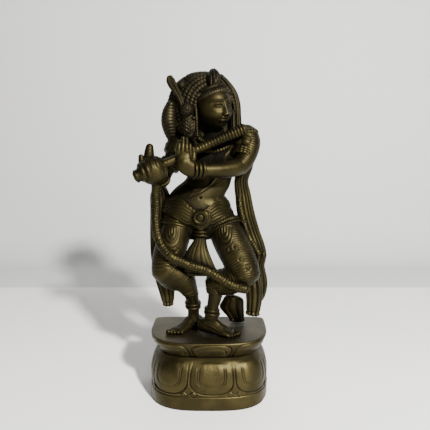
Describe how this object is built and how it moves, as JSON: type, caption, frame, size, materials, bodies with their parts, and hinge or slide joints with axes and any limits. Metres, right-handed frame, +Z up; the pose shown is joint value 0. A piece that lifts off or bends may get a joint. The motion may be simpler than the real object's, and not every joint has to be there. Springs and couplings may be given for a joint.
{
  "type": "flute player statue",
  "caption": "Cast brass flute player standing cross-legged with a rope garland and shawls, on a double lotus pedestal that is hollow below.",
  "frame": {"origin": "centre of the overall box in plan, on the surface that the pedestal stands on", "axes": "+Z up, the figure faces -Y, and +X is the figure's own left"},
  "size_m": [0.0978, 0.066, 0.25],
  "materials": {
    "brass": "aged, burnished on the high spots",
    "dark_brass": "dark patina"
  },
  "bodies": {
    "root": {"lower_lotus": "brass", "upper_lotus": "brass", "torso": "brass", "head": "brass", "pelvis": "brass", "left_thigh": "brass", "right_thigh": "brass", "left_shin": "brass", "right_shin": "brass", "right_foot": "brass", "left_foot": "brass", "left_upper_arm": "brass", "left_forearm": "brass", "right_upper_arm": "brass", "right_forearm": "brass", "flute": "brass", "flute_end": "brass", "left_hand": "brass", "right_hand": "brass", "hair_cap": "dark_brass", "hair_bun": "dark_brass", "hair_crest": "dark_brass", "brow_band": "dark_brass", "right_ear_flower": "dark_brass", "right_ear_pendant": "dark_brass", "ear_plume": "dark_brass", "left_side_lock": "dark_brass", "back_hair": "dark_brass", "necklace": "brass", "left_shoulder_cap": "brass", "right_shoulder_cap": "brass", "left_armlet": "brass", "right_armlet": "brass", "left_bangles": "brass", "right_bangles": "brass", "sacred_cord": "brass", "girdle": "brass", "girdle_clasp": "brass", "girdle_tongue": "brass", "right_hip_strap": "brass", "left_hip_strap": "brass", "left_anklet": "brass", "right_anklet": "brass", "front_pleat": "brass", "garland_right_run": "brass", "garland_front_run": "brass", "garland_left_run": "brass", "left_shawl": "brass", "left_shawl_end": "brass", "right_shawl": "brass", "right_shawl_end": "brass", "rear_sash": "brass"}
  },
  "joints": []
}
